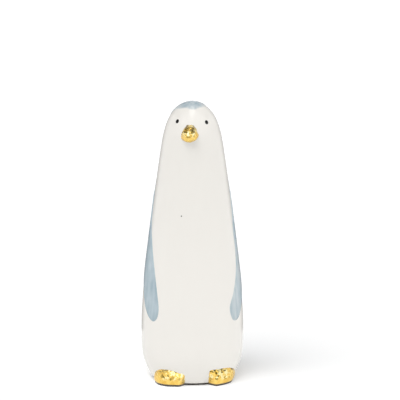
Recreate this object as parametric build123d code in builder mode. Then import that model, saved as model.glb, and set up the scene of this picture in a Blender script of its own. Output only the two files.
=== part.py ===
from build123d import *
from math import cos, radians, sin
import os

os.makedirs("parts", exist_ok=True)

# A glazed ceramic penguin: a hollow slip-cast body with a beak, two feet and two flippers
# luted on, a coloured slip coat over crown and back, and two enamel eyes.
# Sizes are in millimetres and angles in degrees. The penguin stands on Z = 0 and faces -Y.
# Left and right are its own, so its left side is +X. A turn is measured from its front
# towards its left.

# Body casting
body_height = 140.0
base_radius = 20.2
hip_radius = 25.5
wall = 3.6
base_edge_radius = 2.4
base_lean = 24.0
foot_ring_width = 3.4
foot_ring_depth = 0.9
vent_radius = 1.9

# The body's outline above its base: shares of the hip radius and of the body height
body_outline_shares = (
    (0.945, 0.061),
    (1.000, 0.146),
    (0.975, 0.286),
    (0.843, 0.511),
    (0.722, 0.686),
    (0.608, 0.836),
    (0.514, 0.915),
    (0.331, 0.973),
)

# Beak, with its place on the face measured down from the crown
beak_below_crown = 13.7
beak_turn = -5.5
beak_dip = 10.0
beak_radius = 4.15
beak_length = 6.6
beak_root = 5.0

# The beak's outline in front of its seat: shares of its length and of its radius
beak_outline_shares = ((0.45, 0.80), (0.86, 0.43))

# Eyes
eye_radius = 1.1
eye_relief = 0.25
eye_root = 2.0
right_eye_below_crown = 8.2
right_eye_turn = -39.5
left_eye_below_crown = 8.6
left_eye_turn = 37.0

# Flippers, cut from one sheet of clay and set on at slightly different angles
flipper_length = 66.4
flipper_width = 17.5
flipper_relief = 0.5
shoulder_height = 96.3
shoulder_setback = 1.5
right_flipper_swing = 14.9
left_flipper_swing = 11.9

# Each flipper's outline from its shoulder down the front edge and back up the rear edge:
# shares of its length, and of its width from the line between shoulder and tip, where the
# front edge is positive
right_flipper_outline_shares = (
    (0, 0),
    (0.26, 0.07),
    (0.44, 0.205),
    (0.62, 0.29),
    (0.78, 0.297),
    (0.905, 0.258),
    (0.976, 0.165),
    (1.00, 0.04),
    (0.98, -0.10),
    (0.915, -0.277),
    (0.81, -0.40),
    (0.575, -0.60),
    (0.28, -0.43),
)
left_flipper_outline_shares = (
    (0, 0),
    (0.29, 0.17),
    (0.47, 0.085),
    (0.62, 0.115),
    (0.78, 0.25),
    (0.90, 0.347),
    (0.98, 0.21),
    (0.99, 0.08),
    (0.97, -0.09),
    (0.915, -0.26),
    (0.83, -0.40),
    (0.575, -0.60),
    (0.28, -0.43),
)

# Coloured slip coat over the crown and back
mantle_thickness = 0.35

# The front edge of the coat seen from the side, from above the brow to below the tail:
# shares of the hip radius behind the body's axis, and of the body height
mantle_edge_shares = (
    (-0.42, 0.990),
    (-0.30, 0.983),
    (-0.10, 0.982),
    (0.05, 0.976),
    (0.18, 0.945),
    (0.24, 0.885),
    (0.20, 0.800),
    (0.09, 0.714),
    (0.10, 0.628),
    (0.13, 0.500),
    (0.22, 0.393),
    (0.40, 0.300),
    (0.68, 0.200),
    (0.92, 0.115),
    (1.12, 0.070),
)

# Feet, both from the same lump of clay and pinched into shape by hand
foot_length = 17.4
foot_girth_radius = 7.6
right_foot_turn = -34.1
right_foot_reach = 6.2
right_foot_centre_height = 2.6
left_foot_turn = 46.0
left_foot_reach = 5.55
left_foot_centre_height = 3.5

# Each foot's outline between the small flats at its blunt inner end and its outer end:
# shares of its length and of its girth radius
foot_flat_share = 0.2
right_foot_outline_shares = ((0.03, 0.58), (0.12, 0.71), (0.35, 0.95), (0.65, 0.935), (0.90, 0.60))
left_foot_outline_shares = ((0.03, 0.835), (0.12, 0.90), (0.35, 0.98), (0.65, 0.895), (0.90, 0.52))

# Counts for the curves that follow the body's skin
skin_stations = 24
skin_halvings = 40

base_point = Vector(base_radius, 0)
crown_point = Vector(0, body_height)
skin_points = [
    base_point,
    *[Vector(r * hip_radius, h * body_height) for r, h in body_outline_shares],
    crown_point,
]
skin_tangents = (Vector(sin(radians(base_lean)), cos(radians(base_lean))), Vector(-1, 0))


def smooth_curve(points, end_tangents):
    """A spline through points that leaves and arrives along the given directions."""
    return Spline(*points, tangents=end_tangents, tangent_scalars=(1, 1))


# The body's outline, with X as the radius and Y as the height
skin = smooth_curve(skin_points, skin_tangents)


def grown_form(growth):
    """The body as a solid form, its skin moved out by growth, or in where it is negative."""
    points = []
    for station in range(skin_stations + 1):
        share = station / skin_stations
        along = skin % share
        points.append((skin @ share) + Vector(along.Y, -along.X) * growth)
    with BuildPart() as form:
        with BuildSketch(Plane.XZ):
            with BuildLine():
                smooth_curve(points, skin_tangents)
                Polyline(points[-1], (0, points[0].Y), points[0])
            make_face()
        revolve(axis=Axis.Z)
    return form.part


def skin_share(height):
    """How far along the body's outline a height lies, found by halving."""
    low, high = 0, 1
    for _ in range(skin_halvings):
        middle = (low + high) / 2
        if (skin @ middle).Y < height:
            low = middle
        else:
            high = middle
    return low


def facing(turn):
    """The level direction out of the body at a turn from its front."""
    return Vector(sin(radians(turn)), -cos(radians(turn)), 0)


def sideways(turn):
    """The level direction along the body's skin at a turn, towards the penguin's left."""
    return Vector(cos(radians(turn)), sin(radians(turn)), 0)


def skin_plane(height, turn):
    """A plane on the body's skin that faces straight out of it."""
    share = skin_share(height)
    point = skin @ share
    along = skin % share
    return Plane(
        origin=facing(turn) * point.X + Vector(0, 0, point.Y),
        x_dir=sideways(turn),
        z_dir=facing(turn) * along.Y - Vector(0, 0, along.X),
    )


# The outer form of the body, with its rounded bottom edge
with BuildPart() as body_form:
    add(grown_form(0))
    fillet(body_form.edges().sort_by(Axis.Z)[0], radius=base_edge_radius)

# Body shell: hollow, open at the vent hole, standing on a foot ring
with BuildPart() as cavity:
    add(grown_form(-wall))
    split(bisect_by=Plane.XY.offset(wall), keep=Keep.TOP)

foot_ring_outer_radius = body_form.faces().sort_by(Axis.Z)[0].bounding_box().max.X
with BuildPart() as body_shell:
    add(body_form.part)
    add(cavity.part, mode=Mode.SUBTRACT)
    with BuildSketch(Plane.XY):
        Circle(foot_ring_outer_radius - foot_ring_width)
    extrude(amount=foot_ring_depth, mode=Mode.SUBTRACT)
    with BuildSketch(Plane.XY):
        Circle(vent_radius)
    extrude(amount=2 * wall, mode=Mode.SUBTRACT)
body_shell.part.label = "body_shell"

# Beak: a plump cone, pressed on to the face and dipping towards its tip
beak_seat = skin_plane(body_height - beak_below_crown, beak_turn)
beak_direction = facing(beak_turn) * cos(radians(beak_dip)) - Vector(0, 0, sin(radians(beak_dip)))
beak_plane = Plane(origin=beak_seat.origin, x_dir=beak_direction, z_dir=sideways(beak_turn))
with BuildPart() as beak:
    with BuildSketch(beak_plane):
        with BuildLine():
            root = Line((-beak_root, 0), (-beak_root, beak_radius))
            side = Line(root @ 1, (0, beak_radius))
            nose_points = [(s * beak_length, r * beak_radius) for s, r in beak_outline_shares]
            nose = smooth_curve([side @ 1, *nose_points, (beak_length, 0)], ((1, 0), (0, -1)))
            Line(nose @ 1, root @ 0)
        make_face()
    revolve(axis=Axis(beak_plane.origin, beak_direction))
    add(body_form.part, mode=Mode.SUBTRACT)
beak.part.label = "beak"

# Eyes: round dots of black enamel on the face
eye_form = grown_form(eye_relief)


def enamel_dot(below_crown, turn):
    """One eye: a disc of the enamel's thickness that follows the face."""
    with BuildPart() as dot:
        with BuildSketch(skin_plane(body_height - below_crown, turn)):
            Circle(eye_radius)
        extrude(amount=eye_root, both=True)
        add(eye_form, mode=Mode.INTERSECT)
        add(body_form.part, mode=Mode.SUBTRACT)
    return dot


right_eye = enamel_dot(right_eye_below_crown, right_eye_turn)
right_eye.part.label = "right_eye"
left_eye = enamel_dot(left_eye_below_crown, left_eye_turn)
left_eye.part.label = "left_eye"

# Flippers: thin paddles that follow the body's side
flipper_form = grown_form(flipper_relief)


def flipper_blank(side, swing, outline_shares):
    """A flipper's outline carried straight out of the side +1 or -1, swung about its shoulder."""
    down = Vector(-sin(radians(swing)), -cos(radians(swing)))
    forward = Vector(down.Y, -down.X)
    shoulder = Vector(shoulder_setback, shoulder_height)
    points = [
        shoulder + down * (s * flipper_length) + forward * (w * flipper_width)
        for s, w in outline_shares
    ]
    with BuildPart() as blank:
        with BuildSketch(Plane.YZ):
            with BuildLine():
                Spline(*points, periodic=True)
            make_face()
        extrude(amount=side * (hip_radius + 2 * flipper_relief))
    return blank.part


def pressed_flipper(blank):
    """One flipper: its blank trimmed to a thin paddle on the body's side."""
    with BuildPart() as flipper:
        add(blank)
        add(flipper_form, mode=Mode.INTERSECT)
        add(body_form.part, mode=Mode.SUBTRACT)
    return flipper


right_blank = flipper_blank(-1, right_flipper_swing, right_flipper_outline_shares)
right_flipper = pressed_flipper(right_blank)
right_flipper.part.label = "right_flipper"
left_blank = flipper_blank(1, left_flipper_swing, left_flipper_outline_shares)
left_flipper = pressed_flipper(left_blank)
left_flipper.part.label = "left_flipper"

# Mantle: the coloured slip coat over the crown and back, laid up to the flippers
mantle_form = grown_form(mantle_thickness)
mantle_edge_points = [(y * hip_radius, h * body_height) for y, h in mantle_edge_shares]
mantle_far_side = 2 * hip_radius
with BuildPart() as mantle:
    add(mantle_form)
    with BuildSketch(Plane.YZ):
        with BuildLine():
            edge = Spline(*mantle_edge_points)
            Polyline(
                edge @ 1,
                (mantle_far_side, (edge @ 1).Y),
                (mantle_far_side, body_height + wall),
                ((edge @ 0).X, body_height + wall),
                edge @ 0,
            )
        make_face()
    extrude(amount=mantle_far_side, both=True, mode=Mode.INTERSECT)
    add(body_form.part, mode=Mode.SUBTRACT)
    add(right_blank, mode=Mode.SUBTRACT)
    add(left_blank, mode=Mode.SUBTRACT)
mantle.part.label = "mantle"


def pressed_foot(side, turn, reach, centre_height, outline_shares):
    """One foot on the side +1 or -1: a rounded wedge along the base, blunt at its inner end."""
    along = sideways(turn) * side
    centre = facing(turn) * (base_radius + reach - foot_girth_radius)
    inner_end = centre - along * (foot_length / 2) + Vector(0, 0, centre_height)
    plan = Plane(origin=inner_end, x_dir=along, z_dir=Vector(0, 0, side))
    with BuildPart() as foot:
        with BuildSketch(plan):
            with BuildLine():
                inner_flat = Line((0, 0), (0, foot_flat_share * foot_girth_radius))
                outer_flat = Line((foot_length, foot_flat_share * foot_girth_radius), (foot_length, 0))
                rim_points = [(s * foot_length, r * foot_girth_radius) for s, r in outline_shares]
                smooth_curve([inner_flat @ 1, *rim_points, outer_flat @ 0], ((0, 1), (0, -1)))
                Line(outer_flat @ 1, inner_flat @ 0)
            make_face()
        revolve(axis=Axis(inner_end, along))
        split(bisect_by=Plane.XY, keep=Keep.TOP)
        add(body_form.part, mode=Mode.SUBTRACT)
    return foot


right_foot = pressed_foot(
    -1, right_foot_turn, right_foot_reach, right_foot_centre_height, right_foot_outline_shares
)
right_foot.part.label = "right_foot"
left_foot = pressed_foot(
    1, left_foot_turn, left_foot_reach, left_foot_centre_height, left_foot_outline_shares
)
left_foot.part.label = "left_foot"

pieces = (
    body_shell,
    mantle,
    right_flipper,
    left_flipper,
    beak,
    right_eye,
    left_eye,
    right_foot,
    left_foot,
)
for piece in pieces:
    export_step(piece.part, f"parts/{piece.part.label}.step")
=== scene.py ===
"""A glazed ceramic penguin: its finish and fine form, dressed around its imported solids."""

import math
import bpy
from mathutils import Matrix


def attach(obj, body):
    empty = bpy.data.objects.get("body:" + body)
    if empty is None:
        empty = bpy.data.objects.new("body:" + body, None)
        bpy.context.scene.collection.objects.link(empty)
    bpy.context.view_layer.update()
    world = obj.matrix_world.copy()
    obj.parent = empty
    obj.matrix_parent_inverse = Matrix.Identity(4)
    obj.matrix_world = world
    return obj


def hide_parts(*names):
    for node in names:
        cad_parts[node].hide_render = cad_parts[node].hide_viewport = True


bl_info = {
    "name": "Glazed penguin figurine",
    "version": (1, 0, 0),
    "blender": (4, 5, 0),
    "location": "View3D > Sidebar > Penguin",
    "description": "Dresses the packed solids of a glazed ceramic penguin and sets up its studio",
    "category": "Object",
}

from functools import partial

import bmesh
import bpy
import numpy as np
from bpy.props import FloatProperty, IntProperty, PointerProperty, StringProperty
from mathutils import Vector

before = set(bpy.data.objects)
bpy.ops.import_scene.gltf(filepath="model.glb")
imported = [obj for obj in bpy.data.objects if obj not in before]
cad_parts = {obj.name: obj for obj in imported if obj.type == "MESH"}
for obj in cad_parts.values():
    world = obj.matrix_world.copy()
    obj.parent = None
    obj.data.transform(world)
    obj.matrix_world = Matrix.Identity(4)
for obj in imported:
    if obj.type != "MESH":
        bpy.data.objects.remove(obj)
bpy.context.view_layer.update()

# Lengths are in metres, as the frame is. MM turns a size in millimetres into metres.
# The penguin stands on Z = 0 and faces -Y. Left and right are its own, so its left is +X.
# A turn is measured from its front towards its left.
# Sizes and colours that a user would change are settings. Finer ones stand beside the code that uses them.
MM = 0.001


def length(label, description, millimetres):
    """A length that the user can change, given in millimetres."""
    return FloatProperty(name=label, description=description, default=millimetres * MM, unit="LENGTH")


def angle(label, description, degrees):
    """An angle that the user can change, given in degrees."""
    return FloatProperty(
        name=label, description=description, default=math.radians(degrees), subtype="ANGLE"
    )


def colour(label, description, srgb_hex):
    """A colour that the user can change, as six sRGB hex digits."""
    return StringProperty(name=label, description=description, default=srgb_hex)


def amount(label, description, value):
    """A plain number that the user can change."""
    return FloatProperty(name=label, description=description, default=value)


class BodySettings(bpy.types.PropertyGroup):
    """Sizes of the hollow body casting."""

    wall: length("Wall", "Thickness of the cast wall", 3.6)
    ring_width: length("Foot ring width", "Width of the ring that the body stands on", 3.4)
    ring_depth: length("Foot ring depth", "Depth of the recess inside the ring", 0.9)
    vent_radius: length("Vent radius", "Radius of the firing vent in the recess", 1.9)
    edge_round: length("Edge round", "Softening of the ring's and the vent's edges", 0.2)
    gap_height: length("Gap height", "Height of the shadow gap outside the foot ring", 1.15)
    gap_depth: length("Gap depth", "Depth of the shadow gap outside the foot ring", 1.4)
    row_step: length("Row step", "Distance between the body's rows of points", 0.6)
    segments: IntProperty(name="Segments", description="Points in each row round the body", default=144)


class MantleSettings(bpy.types.PropertyGroup):
    """Sizes of the slip coat over the crown and back."""

    thickness: length("Thickness", "Thickness of the slip away from its edge", 0.3)
    feather: length("Feather", "Width over which the slip thins out at its edge", 1.9)
    wander: length("Wander", "How far the brush strays from the edge's line", 0.25)
    cell: length("Cell", "Size of the coat's mesh cells", 0.7)


class FlipperSettings(bpy.types.PropertyGroup):
    """Sizes of the two flippers."""

    length: length("Length", "Length from shoulder to tip", 66.4)
    width: length("Width", "Width that the outline's shares refer to", 17.5)
    relief: length("Relief", "Height of the flipper above the body's skin", 0.5)
    feather: length("Feather", "Width of the rounded edge", 1.5)
    shoulder_height: length("Shoulder height", "Height of the shoulder above the base", 96.3)
    shoulder_setback: length("Shoulder setback", "Shoulder's distance behind the body's axis", 1.5)
    right_swing: angle("Right swing", "Forward swing of the right flipper", 14.9)
    left_swing: angle("Left swing", "Forward swing of the left flipper", 11.9)


class FaceSettings(bpy.types.PropertyGroup):
    """Sizes of the beak and the eyes."""

    beak_drop: length("Beak drop", "Distance of the beak's seat below the crown", 13.7)
    beak_turn: angle("Beak turn", "Turn of the beak from the front", -5.5)
    beak_dip: angle("Beak dip", "How far the beak points below level", 10.0)
    beak_radius: length("Beak radius", "Radius of the beak at its seat", 4.15)
    beak_length: length("Beak length", "Length of the beak in front of its seat", 6.6)
    beak_root: length("Beak root", "Length of the beak behind its seat", 3.0)
    beak_tip_lift: amount("Beak tip lift", "Rise of the beak's tip as a share of its radius", 0.1)
    eye_radius: length("Eye radius", "Radius of an enamel dot", 1.1)
    eye_relief: length("Eye relief", "Height of an enamel dot", 0.25)
    right_eye_drop: length("Right eye drop", "Distance of the right eye below the crown", 8.2)
    right_eye_turn: angle("Right eye turn", "Turn of the right eye from the front", -39.5)
    left_eye_drop: length("Left eye drop", "Distance of the left eye below the crown", 8.6)
    left_eye_turn: angle("Left eye turn", "Turn of the left eye from the front", 37.0)


class FootSettings(bpy.types.PropertyGroup):
    """Sizes of the two feet."""

    length: length("Length", "Length of a foot along the base", 17.4)
    girth_radius: length("Girth radius", "Radius of a foot at its fullest", 7.6)
    base_radius: length("Base radius", "Radius of the body that the reach is measured from", 20.2)
    right_turn: angle("Right foot turn", "Turn of the right foot from the front", -34.1)
    right_reach: length("Right foot reach", "How far the right foot stands out", 6.2)
    right_height: length("Right foot height", "Height of the right foot's middle line", 2.6)
    left_turn: angle("Left foot turn", "Turn of the left foot from the front", 46.0)
    left_reach: length("Left foot reach", "How far the left foot stands out", 5.55)
    left_height: length("Left foot height", "Height of the left foot's middle line", 3.5)
    root: length("Root", "How deep a foot's back lies under the body's skin", 1.0)
    gap_height: length("Gap height", "Height of the shadow gap under a foot's front edge", 1.05)
    gap_depth: length("Gap depth", "Depth of the shadow gap under a foot's front edge", 0.15)
    lean: amount("Lean", "How far a foot's inner end leans inwards for its height", 0.34)
    lean_height: length("Lean height", "Height that the lean turns about", 2.6)


class FinishSettings(bpy.types.PropertyGroup):
    """Colours and textures of the glaze, slip, lustre and enamel."""

    glaze: colour("Glaze", "Warm white of the clear glaze over the clay", "E9E6E0")
    # Painted light: a lighter white that the glaze colour fades to towards the base
    painted_light_glaze: colour("Pooled glaze", "White of the glaze where it has run down thick", "F0EDE7")
    # Painted shade: the bare clay is real, but its dark colour stands in for the contact shadow under the
    # foot ring and soles
    clay_painted_shade: colour("Bisque", "Unglazed clay of the foot ring and soles", "443D37")
    speck: colour("Speck", "Iron speck in the glaze", "4A423B")
    slip: colour("Slip", "Grey-blue slip", "A7B9C2")
    slip_deep: colour("Deep slip", "Slip where it is thick", "8FA5B1")
    slip_thin: colour("Thin slip", "Slip where the brush ran dry", "BDCBD1")
    gold: colour("Gold", "Fired gold lustre", "F5D274")
    gold_deep: colour("Deep gold", "Lustre where the film ran thick", "E7BA58")
    # Painted light: pale gold is a painted highlight on facets, and brown gold a painted dark reflection on
    # facets and patches
    gold_painted_highlight: colour("Pale gold", "Facets that catch the light", "FDF0B4")
    gold_painted_dark_reflection: colour("Brown gold", "Facets and patches where the film fired thin", "80681C")
    facet_size: length("Facet size", "Distance between the facets of the gold", 1.05)
    enamel: colour("Enamel", "Black enamel of the eyes", "0C0B0C")
    dent_size: length("Dent size", "Distance between the dents in the gold pieces", 1.2)
    dent_depth: length("Dent depth", "Depth of the dents in the feet", 0.3)
    beak_dent_depth: length("Beak dent depth", "Depth of the dents in the beak", 0.62)


class StageSettings(bpy.types.PropertyGroup):
    """Camera and studio."""

    elevation: angle("Elevation", "Height of the camera above level", 13.0)
    distance: length("Distance", "Distance from the camera to the body's axis", 2000.0)
    aim_height: length("Aim height", "Height on the axis that the distance is measured to", 62.0)
    pixel_size: length("Pixel size", "Size of one pixel of the frame at the body's axis", 0.4997)
    shift_right: length("Shift right", "How far towards +X the frame's middle lies from the axis", 3.86)
    shift_up: length("Shift up", "How far above the aim height the frame's middle lies", 27.45)
    key_turn: angle("Key turn", "Turn of the key light from the front", -42.0)
    key_height: angle("Key height", "Height of the key light above level", 52.0)
    key_spread: angle("Key spread", "Angle that each light's face takes up", 58.0)
    key_strength: amount("Key strength", "Light of the key on a surface that faces it", 1.53)
    side_turn: angle("Side turn", "Turn of the side fill from the front", 80.0)
    side_height: angle("Side height", "Height of the side fill above level", 20.0)
    side_strength: amount("Side strength", "Light of the side fill on a surface that faces it", 0.83)
    fill_strength: amount("Fill strength", "Brightness of the surroundings as a light", 0.555)
    fill_lean: amount("Fill lean", "How much brighter the surroundings are towards +X", 0.2)
    floor: colour("Floor", "Floor and backdrop", "FBFBFB")


class PenguinSettings(bpy.types.PropertyGroup):
    """All settings of the figurine."""

    body: PointerProperty(type=BodySettings)
    mantle: PointerProperty(type=MantleSettings)
    flipper: PointerProperty(type=FlipperSettings)
    face: PointerProperty(type=FaceSettings)
    foot: PointerProperty(type=FootSettings)
    finish: PointerProperty(type=FinishSettings)
    stage: PointerProperty(type=StageSettings)


# Outlines, as shares of the sizes that they follow

# Edge of the mantle seen from the side, from temple to tail: shares of the hip radius behind
# the axis and of the body height
MANTLE_EDGE_SHARES = (
    (0.20, 0.976), (0.23, 0.945), (0.24, 0.885), (0.20, 0.800), (0.05, 0.714), (-0.02, 0.628),
    (0.02, 0.500), (0.18, 0.393), (0.40, 0.300), (0.68, 0.200), (0.92, 0.115), (1.12, 0.070),
)

# Brow line of the mantle from the right temple round to the left one: turns from the front
# in degrees and drops below the crown in millimetres
BROW_LINE = (
    (-112, 9.0), (-93, 5.4), (-83, 4.25), (-69, 3.25), (-54, 2.65), (-39, 2.3), (-23, 2.25), (-8, 2.6),
    (4, 2.75), (17, 2.65), (32, 2.35), (47, 2.25), (68, 2.3), (95, 2.5), (115, 3.2), (135, 6.0),
)

# Flipper outlines, down the front edge and back up the rear edge: shares of the length from
# the shoulder, and of the width to the front
RIGHT_FLIPPER_SHARES = (
    (0, 0), (0.26, 0.08), (0.44, 0.205), (0.62, 0.29), (0.78, 0.305), (0.91, 0.28), (0.988, 0.18),
    (1.012, 0.04), (0.99, -0.10), (0.915, -0.277), (0.81, -0.40), (0.575, -0.60), (0.28, -0.43),
)
LEFT_FLIPPER_SHARES = (
    (0, 0), (0.29, 0.17), (0.47, 0.085), (0.62, 0.115), (0.78, 0.25), (0.90, 0.355), (0.99, 0.225),
    (1.004, 0.08), (0.982, -0.09), (0.915, -0.26), (0.83, -0.40), (0.575, -0.60), (0.28, -0.43),
)

# Beak section at its seat, seen from the front: shares of its radius to the left and up
BEAK_SECTION_SHARES = (
    (0.03, 0.96), (-0.34, 0.90), (-0.62, 0.64), (-0.86, 0.12), (-1.00, -0.28), (-0.90, -0.62), (-0.52, -0.82),
    (0.0, -0.88), (0.46, -0.80), (0.88, -0.54), (1.01, -0.14), (0.81, 0.42), (0.60, 0.74), (0.36, 0.92),
)

# Beak outline in front of its seat: shares of its length and of its radius
BEAK_SHARES = ((0.0, 1.0), (0.24, 0.97), (0.45, 0.86), (0.68, 0.66), (0.86, 0.44), (0.96, 0.22), (1.0, 0.0))

# Painted dark reflections, as patches beside the beak's ridge: shares of its radius to the left and up, and
# their size
BEAK_PAINTED_PATCHES = ((-0.28, 0.80, 0.26), (0.48, 0.72, 0.30))

# Foot outlines from the inner end to the outer end: shares of the length and girth radius
RIGHT_FOOT_SHARES = (
    (0.0, 0.2), (0.004, 0.45), (0.03, 0.60), (0.12, 0.71), (0.35, 0.95),
    (0.65, 0.935), (0.90, 0.60), (0.985, 0.36), (1.0, 0.2),
)
LEFT_FOOT_SHARES = (
    (0.0, 0.2), (0.004, 0.55), (0.03, 0.835), (0.12, 0.90), (0.35, 0.98),
    (0.65, 0.90), (0.92, 0.56), (1.02, 0.36), (1.035, 0.2),
)


# Geometry helpers

# Points that a smooth line has between two given ones before it is spread evenly
SPAN_POINTS = 60
# Distances under which points are joined, at the poles of a piece and along the body's seam
POLE_DISTANCE = 0.003 * MM
SEAM_DISTANCE = 0.002 * MM
# How the skin is read: its step, the least gap between its points, and which faces are outer ones
SKIN_STEP = 0.25 * MM
SKIN_GAP = 0.02 * MM
OUTWARD_SHARE = 0.02
UPWARD_SHARE = 0.5
# Depth of a slip coat's inner side under the skin, and how far its edge sinks below the skin
COAT_ROOT = 0.4 * MM
COAT_SINK = 0.06 * MM

UP = np.array([0.0, 0.0, 1.0])


def facing(turn):
    """The level direction out of the body at a turn."""
    return np.array([math.sin(turn), -math.cos(turn), 0.0])


def sideways(turn):
    """The level direction along the body's skin at a turn, towards the penguin's left."""
    return np.array([math.cos(turn), math.sin(turn), 0.0])


def run_lengths(points):
    """How far along a line of points each of them lies."""
    return np.concatenate([[0], np.cumsum(np.linalg.norm(np.diff(points, axis=0), axis=1))])


def smooth_line(points, count, closed=False):
    """Points spread evenly along a smooth curve through the given points."""
    points = np.asarray(points, float)
    if closed:
        points = np.vstack([points[-1:], points, points[:2]])
    else:
        points = np.vstack([2 * points[0] - points[1], points, 2 * points[-1] - points[-2]])
    knots = run_lengths(points)
    slopes = (points[2:] - points[:-2]) / (knots[2:] - knots[:-2])[:, None]
    fine = []
    t = np.linspace(0, 1, SPAN_POINTS, endpoint=False)[:, None]
    for i in range(len(slopes) - 1):
        span = knots[i + 2] - knots[i + 1]
        fine.append(
            (2 * t**3 - 3 * t**2 + 1) * points[i + 1]
            + (t**3 - 2 * t**2 + t) * span * slopes[i]
            + (3 * t**2 - 2 * t**3) * points[i + 2]
            + (t**3 - t**2) * span * slopes[i + 1]
        )
    fine = np.vstack([*fine, points[len(slopes)][None]])
    along = run_lengths(fine)
    wanted = np.linspace(0, along[-1], count, endpoint=not closed)
    return np.stack([np.interp(wanted, along, fine[:, k]) for k in range(points.shape[1])], axis=1)


def smooth_step(low, high, value):
    """0 on the low side, 1 on the high side and a smooth rise between."""
    share = np.clip((value - low) / (high - low), 0, 1)
    return share * share * (3 - 2 * share)


def mesh_values(items, field, width, kind=float):
    """One field of a mesh's items as an array, with width numbers to a row."""
    values = np.empty(len(items) * width, kind)
    items.foreach_get(field, values)
    return values.reshape(-1, width)


class Skin:
    """The body's outer outline, from the base edge to the crown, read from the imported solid."""

    def __init__(self, step):
        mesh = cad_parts["body_shell"].data
        corners = mesh_values(mesh.loops, "vertex_index", 1, int).reshape(-1, 3)
        places = mesh_values(mesh.vertices, "co", 3)
        normals = mesh_values(mesh.polygons, "normal", 3)
        centres = mesh_values(mesh.polygons, "center", 3)
        middle = places[:, 2].max() / 2
        reach = np.maximum(np.hypot(centres[:, 0], centres[:, 1]), step)
        outward = (centres[:, 0] * normals[:, 0] + centres[:, 1] * normals[:, 1]) / reach
        is_crown = (normals[:, 2] > UPWARD_SHARE) & (centres[:, 2] > middle)
        outer = places[np.unique(corners[(outward > OUTWARD_SHARE) | is_crown])]
        radius = np.hypot(outer[:, 0], outer[:, 1])
        order = np.argsort(np.arctan2(outer[:, 2] - middle, radius))
        line = np.stack([radius[order], outer[order, 2]], axis=1)
        gaps = np.linalg.norm(np.diff(line, axis=0), axis=1)
        line = line[np.concatenate([[True], gaps > SKIN_GAP])]
        line[0, 1] = 0
        line[-1] = (0, 2 * middle)
        along = run_lengths(line)
        self.along = np.linspace(0, along[-1], int(along[-1] / step))
        self.radius = np.interp(self.along, along, line[:, 0])
        self.height = np.interp(self.along, along, line[:, 1])
        rise = np.gradient(self.height)
        spread = np.gradient(self.radius)
        pace = np.hypot(rise, spread)
        self.out = rise / pace
        self.up = -spread / pace

    def at_height(self, height):
        """How far along the outline a height lies."""
        return np.interp(height, self.height, self.along)

    def line(self, along, lift):
        """Radius and height on the outline, raised off the skin by lift."""
        radius = np.interp(along, self.along, self.radius) + lift * np.interp(along, self.along, self.out)
        height = np.interp(along, self.along, self.height) + lift * np.interp(along, self.along, self.up)
        return radius, height

    def points(self, along, turn, lift):
        """Points on the skin at the given turns, raised off it by lift."""
        radius, height = self.line(along, lift)
        return np.stack([radius * np.sin(turn), -radius * np.cos(turn), height], axis=-1)


skin = Skin(SKIN_STEP)
crown = float(skin.height[-1])
hip_radius = float(skin.radius.max())
dressed = []


def new_piece(name, points, faces, material):
    """A smooth-shaded mesh object at the origin, with its place in its mesh."""
    mesh = bpy.data.meshes.new(name)
    mesh.from_pydata([tuple(point) for point in points], [], [tuple(face) for face in faces])
    mesh.shade_smooth()
    mesh.materials.append(material)
    piece = bpy.data.objects.new(name, mesh)
    bpy.context.collection.objects.link(piece)
    return piece


def dress(piece, node):
    """Sets a piece in the place of its solid."""
    dressed.append(piece)
    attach(piece, "root")
    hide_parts(node)


def mark(piece, name, values):
    """Keeps one number for each point of a piece, for its material to read."""
    attribute = piece.data.attributes.new(name, "FLOAT", "POINT")
    attribute.data.foreach_set("value", np.asarray(values, np.float32))


def close_poles(piece):
    """Joins the points of a piece that lie on one another, as at a pole."""
    form = bmesh.new()
    form.from_mesh(piece.data)
    bmesh.ops.remove_doubles(form, verts=form.verts, dist=POLE_DISTANCE)
    bmesh.ops.recalc_face_normals(form, faces=form.faces)
    form.to_mesh(piece.data)
    form.free()


def closed_coat(outer, inner, faces):
    """Points and faces of a thin closed coat between an outer and an inner set of points."""
    count = len(outer)
    edges = dict.fromkeys(edge for face in faces for edge in zip(face, (*face[1:], face[0])))
    closed = list(faces)
    closed += [tuple(count + i for i in reversed(face)) for face in faces]
    closed += [(b, a, count + a, count + b) for a, b in edges if (b, a) not in edges]
    return np.vstack([outer, inner]), closed


def ring_faces(rows, columns):
    """Faces of rows of points that each close on themselves, row by row."""
    faces = []
    for i in range(rows - 1):
        for j in range(columns):
            k = (j + 1) % columns
            faces.append((i * columns + j, i * columns + k, (i + 1) * columns + k, (i + 1) * columns + j))
    return faces


def capped(points, rows, columns):
    """Points and faces of a closed form from ring-shaped rows, with a middle point at each end."""
    first = points[:columns].mean(axis=0)
    last = points[-columns:].mean(axis=0)
    count = len(points)
    faces = ring_faces(rows, columns)
    for j in range(columns):
        k = (j + 1) % columns
        faces.append((count, k, j))
        faces.append((count + 1, count - columns + j, count - columns + k))
    return np.vstack([points, first, last]), faces


# Node helpers


def linear(srgb_hex):
    """A colour of six sRGB hex digits as linear red, green, blue and alpha."""
    channels = [int(srgb_hex[i : i + 2], 16) / 255 for i in (0, 2, 4)]
    return (*[c / 12.92 if c <= 0.04045 else ((c + 0.055) / 1.055) ** 2.4 for c in channels], 1.0)


def add_node(tree, kind, wires=None, **settings):
    """Adds a node with its settings and links.

    Wires gives an input, by its number or name, a constant, a socket or a node, which stands for
    its first live output. A name means the first live input that has it.
    """
    node = tree.nodes.new(kind)
    for name, value in settings.items():
        setattr(node, name, value)
    live = {socket.name: socket for socket in reversed(list(node.inputs)) if socket.enabled}
    for name, value in (wires or {}).items():
        socket = live[name] if name in live else node.inputs[name]
        if isinstance(value, bpy.types.Node):
            value = next(output for output in value.outputs if output.enabled)
        if isinstance(value, bpy.types.NodeSocket):
            tree.links.new(value, socket)
        else:
            socket.default_value = value
    return node


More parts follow.
